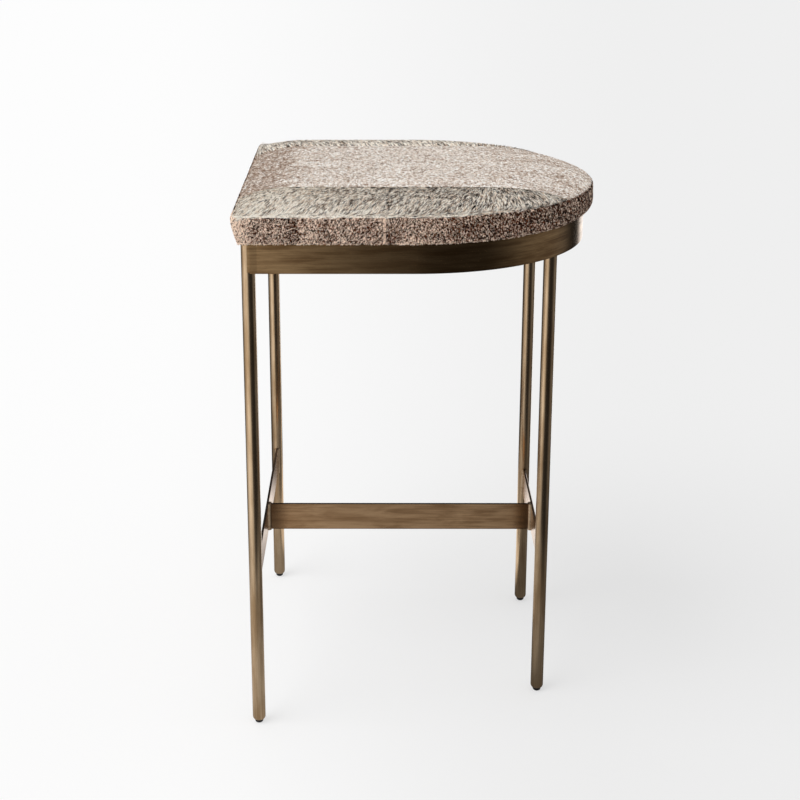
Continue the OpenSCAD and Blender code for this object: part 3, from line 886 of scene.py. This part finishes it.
foam_rings = [[(0, arc_y, foam_low.z)] * len(outline(0))]
foam_top = crease_z - foam_shoulder
foam_steps = 4
for number in range(foam_steps + 1):
    z = foam_low.z + (foam_top - foam_low.z) * number / foam_steps
    growth = side_offset((crease_z - z) / side_h) - foam_inset
    foam_rings.append([(x, y, z) for x, y in outline(growth)])
crown_edge = outline(-side_swell - foam_inset - crown_gap)
straight_down = Vector((0, 0, -1))
for share in (1.0, 0.99, 0.96, 0.9, 0.82, 0.72, 0.6, 0.46, 0.3, 0.15, 0.0):
    ring = [(x * share, arc_y + (y - arc_y) * share) for x, y in crown_edge]
    hits = [cover_form.ray_cast(Vector((x, y, 1)), straight_down)[0] for x, y in ring]
    foam_rings.append([
        (x, y, hit.z - foam_inset - crown_gap) for (x, y), hit in zip(ring, hits)
    ])
foam = Finish("cut_foam", Roughness=0.9)
cells = foam.noise(foam.place, 1400.0, 2.0)
foam.vary(Base_Color=foam.mix(cells, tone(236, 224, 176), tone(206, 190, 138)))
foam.raised(cells, 0.0004)
pad = settle(ringed(foam_rings), "seat_foam", 50, foam)
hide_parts("foam_pad")

# Folded edge
# The lower edge of the hide, turned in under the board and stapled. Its flesh
# side is down, and it has small pleats round the bend.
fold = Finish("flesh_side", Roughness=0.85)
nap = fold.noise(fold.place, 700.0, 3.0)
from_arc = fold.node(
    "ShaderNodeVectorMath", {"operation": "SUBTRACT"}, {0: fold.place, 1: (0, arc_y, 0)}
)
round_seat = fold.node("ShaderNodeTexGradient", {"gradient_type": "RADIAL"}, {0: from_arc})
pleats = fold.noise(fold.node("ShaderNodeCombineXYZ", {}, {0: round_seat * 130.0}), 1.0, 1.0)
pleated = fold.step(pleats, 0.42, 0.58)
creased = fold.mix(nap, tone(186, 172, 152), tone(158, 140, 118))
# The hollows between the pleats are painted darker: painted shade in the folds.
fold.vary(Base_Color=fold.mix((1.0 - pleated) * 0.4, creased, tone(120, 102, 84)))
fold.raised(pleated + nap * 0.3, 0.0008)
fold_ease = 0.0004
turned_in = eased_copy("hide_folded_edge", "folded_edge", fold_ease, fold)
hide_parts("hide_folded_edge")

# Dust cover
# A sheet of black woven cloth, cut to the space inside the metal frame and
# stapled up through the folded hide into the board.
cloth = Finish("dust_cloth", Roughness=0.9)
warp = cloth.noise(cloth.stretched(900, 60, 1), 1.0, 1.0)
weft = cloth.noise(cloth.stretched(60, 900, 1), 1.0, 1.0)
threads = cloth.step(warp + weft, 0.8, 1.2)
cloth.vary(Base_Color=cloth.mix(threads, tone(20, 20, 22), tone(48, 48, 50)))
cloth.raised(warp + weft, 0.0003)
cloth_ease = 0.0002
dust = eased_copy("dust_cover", "dust_cloth", cloth_ease, cloth)
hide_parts("dust_cover")

# Screws and staples
# Zinc-plated pan screws through the tabs and wire staples through the cloth.
zinc = Finish("zinc_plate", Metallic=1.0)
spangle = zinc.noise(zinc.place, 500.0, 3.0)
zinc.vary(
    Base_Color=zinc.mix(spangle, tone(176, 178, 182), tone(140, 142, 146)),
    Roughness=0.32 + spangle * 0.2,
)
zinc.onto("seat_screws", "staples")

# Studio
# A pale sweep under even light, a soft key from the left and above, and a
# round tent of grey and white cards that only reflections see.
scene = bpy.context.scene
scene.view_settings.view_transform = "Standard"


def link(name, data):
    made = bpy.data.objects.new(name, data)
    scene.collection.objects.link(made)
    return made


camera = link("camera", bpy.data.cameras.new("camera"))
focal_px, frame_px = 1581.907, 800.0
centre_px = (376.0, 320.0)
lens_at = (1.9449, -0.0465, 1.0460)
yaw, pitch, tilt = 0.0035, 0.2929, -0.0007
ahead = Vector((
    -math.cos(yaw) * math.cos(pitch), -math.sin(yaw) * math.cos(pitch), -math.sin(pitch)
))
horizon = ahead.cross(Vector((0, 0, 1))).normalized()
plumb = horizon.cross(ahead)
across = horizon * math.cos(tilt) + plumb * math.sin(tilt)
above = plumb * math.cos(tilt) - horizon * math.sin(tilt)
facing = Matrix((across, above, -ahead)).transposed().to_4x4()
camera.matrix_world = Matrix.Translation(lens_at) @ facing
camera.data.sensor_width = 36.0
camera.data.lens = focal_px * camera.data.sensor_width / frame_px
camera.data.shift_x = 0.5 - centre_px[0] / frame_px
camera.data.shift_y = centre_px[1] / frame_px - 0.5
camera.data.clip_end = 200
scene.camera = camera

# The paper is painted paler to the left and greyer to the right, round the point under the
# camera: a painted falloff of the studio's light across the backdrop.
left_white, right_white = tone(253, 253, 253), tone(239, 239, 239)
sweep = Finish("pale_sweep", Roughness=0.9, Specular_IOR_Level=0.0)
camera_ground_point = (1.94, -0.05, 0)
from_camera_ground = sweep.node(
    "ShaderNodeVectorMath", {"operation": "SUBTRACT"}, {0: sweep.place, 1: camera_ground_point}
)
heading = sweep.node("ShaderNodeVectorMath", {"operation": "NORMALIZE"}, {0: from_camera_ground})
sideways = sweep.node("ShaderNodeSeparateXYZ", {}, {0: heading}, "Y")
far_off = sweep.node("ShaderNodeVectorMath", {"operation": "LENGTH"}, {0: from_camera_ground}, "Value")
light_falloff_paper = sweep.mix(sweep.step(sideways, -0.17, 0.18), left_white, right_white)
paper = sweep.mix(sweep.step(far_off, 0.1, 1.4), tone(246, 246, 246), light_falloff_paper)
sweep.vary(Base_Color=paper)
lit = sweep.node("ShaderNodeEmission", {}, {"Color": paper})
to_camera = sweep.node("ShaderNodeLightPath", output="Is Camera Ray")
seen_paper = sweep.node(
    "ShaderNodeMixShader", {},
    {0: to_camera * 0.6, 1: Wire(sweep, sweep.shader.outputs[0]), 2: lit},
)
sweep.tree.links.new(seen_paper.socket, sweep.tree.nodes["Material Output"].inputs["Surface"])
floor_reach = 40.0
floor_shape = bmesh.new()
bmesh.ops.create_grid(floor_shape, x_segments=1, y_segments=1, size=floor_reach)
floor_mesh = bpy.data.meshes.new("floor")
floor_shape.to_mesh(floor_mesh)
floor_shape.free()
floor_mesh.materials.append(sweep.material)
floor = link("floor", floor_mesh)

world = bpy.data.worlds.new("studio")
scene.world = world
world.use_nodes = True
air = Net(world.node_tree)
rays = air.node("ShaderNodeLightPath", output="Is Camera Ray")
seen = rays + rays.out("Is Glossy Ray") + rays.out("Is Transmission Ray")
background = world.node_tree.nodes["Background"]
strength = air.node("ShaderNodeMapRange", {}, {0: seen, 3: 0.72, 4: 1.0})
world.node_tree.links.new(strength.socket, background.inputs["Strength"])
background.inputs["Color"].default_value = tone(246, 246, 246)

# Light in the tent by bearing round the stool, from behind it by its front side:
# first on its wall and the floor beside it, then on the floor near the stool.
TENT = [
    (-180, 0.10), (-166, 0.15), (-150, 0.08), (-128, 0.10), (-112, 0.20), (-96, 0.48),
    (-76, 0.85), (-62, 1.15), (-38, 1.15), (-30, 0.92), (-21, 0.56), (-12, 0.42), (-6, 0.15),
    (2, 0.04), (44, 0.03), (58, 0.08), (74, 0.20), (98, 0.25), (110, 0.16), (120, 0.02),
    (136, 0.02), (143, 1.80), (158, 1.80), (164, 0.05), (180, 0.05),
]
TENT_FLOOR = [
    (-180, 1.40), (-163, 1.30), (-150, 0.42), (-120, 0.52), (-60, 0.82), (-30, 0.54),
    (-10, 0.43), (12, 0.41), (25, 0.35), (38, 0.20), (90, 0.18), (140, 0.18), (160, 1.20),
    (180, 1.40),
]
tent_r, tent_h, tent_lift, tent_sides = 1.1, 1.7, 0.002, 96
tent = Finish("studio_tent")
compass = tent.node("ShaderNodeTexGradient", {"gradient_type": "RADIAL"}, {0: tent.place})


def lights(cards):
    stops = [(0.5 + bearing / 360, (light, light, light, 1)) for bearing, light in cards]
    return tent.node("ShaderNodeValToRGB", {"stops": stops}, {0: compass})


away = tent.node(
    "ShaderNodeVectorMath", {"operation": "LENGTH"}, {0: tent.stretched(1, 1, 0)}, "Value"
)
# Near the middle the tent's floor is dimmed: a painted shadow of the stool, seen in
# reflections.
stool_shadow_share = (1.0 - tent.step(away, 0.25, 0.44)) * 0.2
low = (1.0 - tent.step(away, 0.7, 1.05)) * 0.35
shaded = tent.mix(stool_shadow_share, lights(TENT_FLOOR), tone(0, 0, 0))
walled = tent.mix(low, lights(TENT), tone(0, 0, 0))
shine = tent.mix(tent.step(away, 0.47, 0.64), shaded, walled)
glow = tent.node("ShaderNodeEmission", {}, {"Color": shine})
tent.tree.links.new(glow.socket, tent.tree.nodes["Material Output"].inputs["Surface"])
round_tent = bmesh.new()
bmesh.ops.create_cone(
    round_tent, segments=tent_sides, radius1=tent_r, radius2=tent_r, depth=tent_h,
    matrix=Matrix.Translation((0, 0, tent_lift + tent_h / 2)),
)
bmesh.ops.create_circle(
    round_tent, cap_ends=True, segments=tent_sides, radius=tent_r,
    matrix=Matrix.Translation((0, 0, tent_lift)),
)
tent_mesh = bpy.data.meshes.new("tent")
round_tent.to_mesh(tent_mesh)
round_tent.free()
tent_mesh.materials.append(tent.material)
tent_object = link("tent", tent_mesh)
for way in ("camera", "diffuse", "transmission", "shadow", "volume_scatter"):
    setattr(tent_object, "visible_" + way, False)

key = link("key", bpy.data.lights.new("key", "SUN"))
key.data.energy = 1.35
key.data.angle = math.radians(45)
toward = Vector((-0.45, 0.75, -1.1))
key.rotation_mode = "QUATERNION"
key.rotation_quaternion = toward.to_track_quat("-Z", "Y")
